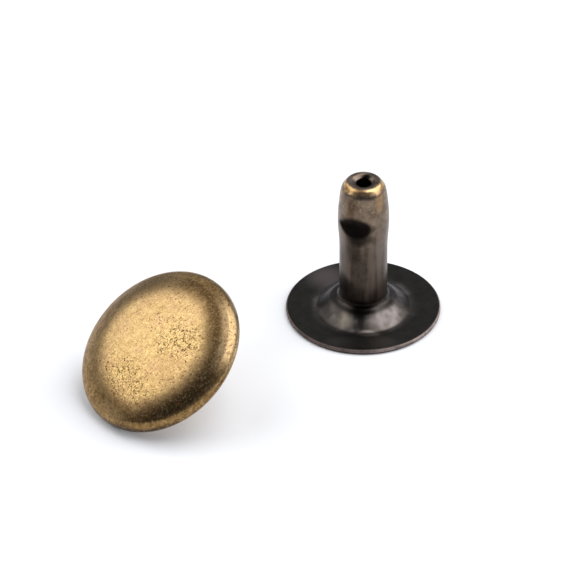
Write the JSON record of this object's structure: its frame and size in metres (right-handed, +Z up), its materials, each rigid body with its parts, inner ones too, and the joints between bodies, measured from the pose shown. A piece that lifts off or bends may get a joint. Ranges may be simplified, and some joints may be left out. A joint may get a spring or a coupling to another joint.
{
  "type": "hollow rivet",
  "caption": "Antique brass hollow rivet for leather, its domed cap taken off and leaning beside the flanged tubular post it snaps onto.",
  "frame": {"origin": "middle of the underside of the post's flange, on the surface that both halves rest on", "axes": "+Z up along the post's tube; +X to the right of the post, away from the cap, with the cap lying towards -X and -Y"},
  "size_m": [0.0182, 0.0157, 0.0081],
  "materials": {
    "antique_brass": "satin antique brass, darkened and fine speckled",
    "dark_brass": "dark antique brass, worn to gold on the tip"
  },
  "bodies": {
    "root": {"post": "dark_brass", "cap_shell": "antique_brass", "cap_socket": "antique_brass"}
  },
  "joints": []
}
